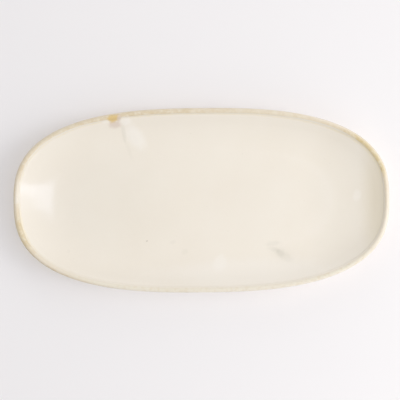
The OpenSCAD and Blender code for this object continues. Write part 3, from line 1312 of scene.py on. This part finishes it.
# %% Replace the nodes
PIECES = (
    (pressed_shell, "clay_body", "clay"),
    (bare_foot, "foot_ring", "clay"),
    (glazed_well, "well_glaze", "glaze"),
    (toasted_lip, "rim_wash", "wash"),
    (glazed_wall, "wall_glaze", "glaze"),
    (glazed_base, "base_glaze", "glaze"),
)
for piece, node, slot in PIECES:
    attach(piece, "root")
    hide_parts(node)
    print(piece.name, "stands for", node)

# %% [markdown]
# ## Floor, light and camera
#
# The plate lies on a plain pale floor. A tall narrow panel stands far off at the right, like a window
# with a bluish sky, and mirrors as a bright sheen on the left wall. It has to be far off, because the
# top of a near one would also mirror in the floor of the well. A small panel at the front right adds a
# soft streak at the upper left. The other panels only light the plate, and don't mirror in it: a broad
# one low at the right makes the soft shadow on the left, a small one high overhead keeps the floor pale
# right up to the plate, and faint ones at the front and the back lift the lip. An even world does the
# rest.

# %% Floor
FLOOR_WHITE = (0.870, 0.842, 0.834)
FLOOR_DULL = tuple(value * 0.99 for value in FLOOR_WHITE)
FLOOR_HALF = 3.0

floor_finish = Finish("pale_floor", FLOOR_WHITE)
floor_finish.lay(FLOOR_DULL, floor_finish.effect(mottling, Scale=3.0, Detail=2.0, Spread=1.5))
floor_finish.set(Base_Color=floor_finish.colour, Roughness=0.9, Specular_IOR_Level=0.0)
floor_mesh = bpy.data.meshes.new("pale_floor")
corners = [(-FLOOR_HALF, -FLOOR_HALF, 0), (FLOOR_HALF, -FLOOR_HALF, 0)]
corners += [(FLOOR_HALF, FLOOR_HALF, 0), (-FLOOR_HALF, FLOOR_HALF, 0)]
floor_mesh.from_pydata(corners, [], [(0, 1, 2, 3)])
floor_mesh.materials.append(floor_finish.material)
pale_floor = bpy.data.objects.new("pale_floor", floor_mesh)
scene.collection.objects.link(pale_floor)

# %% World
WORLD_LEVEL = 0.359

world = bpy.data.worlds.new("even_fill")
world.use_nodes = True
world.node_tree.nodes["Background"].inputs["Color"].default_value = (1, 1, 1, 1)
world.node_tree.nodes["Background"].inputs["Strength"].default_value = WORLD_LEVEL
scene.world = world


# %% Soft panels
def soft_panel(name, level, turn, climb, distance, size):
    """A panel that faces the plate and lights a level white surface to a level."""
    turn, climb = math.radians(turn), math.radians(climb)
    light = bpy.data.lights.new(name, "AREA")
    light.shape = "RECTANGLE"
    light.size, light.size_y = size
    light.energy = math.pi ** 2 * level * distance ** 2 / math.sin(climb)
    panel = bpy.data.objects.new(name, light)
    reach = distance * math.cos(climb)
    panel.location = (reach * math.cos(turn), reach * math.sin(turn), distance * math.sin(climb))
    panel.rotation_euler = (-panel.location).to_track_quat("-Z", "Y").to_euler()
    scene.collection.objects.link(panel)
    return panel


# %% Panels that mirror in the glaze
WINDOW_BLUE = (0.88, 0.98, 1.30)

window = soft_panel("window_panel", level=0.079, turn=-6.4, climb=56.5, distance=4.0, size=(0.40, 4.35))
window.data.color = WINDOW_BLUE
soft_panel("corner_panel", level=0.014, turn=-46, climb=40, distance=0.9, size=(0.25, 0.25))

# %% Panels that only light the plate
fills = (
    soft_panel("side_panel", level=0.208, turn=0, climb=32, distance=1.3, size=(0.9, 0.9)),
    soft_panel("overhead_panel", level=0.340, turn=0, climb=90, distance=5.0, size=(0.5, 0.5)),
    soft_panel("front_panel", level=0.049, turn=-50, climb=20, distance=0.9, size=(0.5, 0.5)),
    soft_panel("back_panel", level=0.045, turn=90, climb=20, distance=1.3, size=(0.9, 0.9)),
)
for panel in fills:
    panel.visible_glossy = False
print("Panels that only light the plate:", len(fills))

# %% Camera
# Straight above the plate, turned a little, as the plate lies in the picture. The frame is square, and
# this much of the level of the lip's widest line fills it.
FRAME_WIDTH = 0.2978
CAMERA_RISE = 1.2
CAMERA_X, CAMERA_Y = -0.00112, 0.00015
CAMERA_TURN = math.radians(-0.6)
SENSOR = 36.0

camera = bpy.data.cameras.new("overhead")
camera.sensor_width = SENSOR
camera.lens = SENSOR * CAMERA_RISE / FRAME_WIDTH
overhead = bpy.data.objects.new("overhead", camera)
widest_level = plate_height - wash_thickness - lip_radius
overhead.location = (CAMERA_X, CAMERA_Y, widest_level + CAMERA_RISE)
overhead.rotation_euler = (0, 0, CAMERA_TURN)
scene.collection.objects.link(overhead)
scene.camera = overhead
scene.view_settings.view_transform = "Standard"
print("Lens in mm:", round(camera.lens, 1))

# %% Update the view layer
bpy.context.view_layer.update()
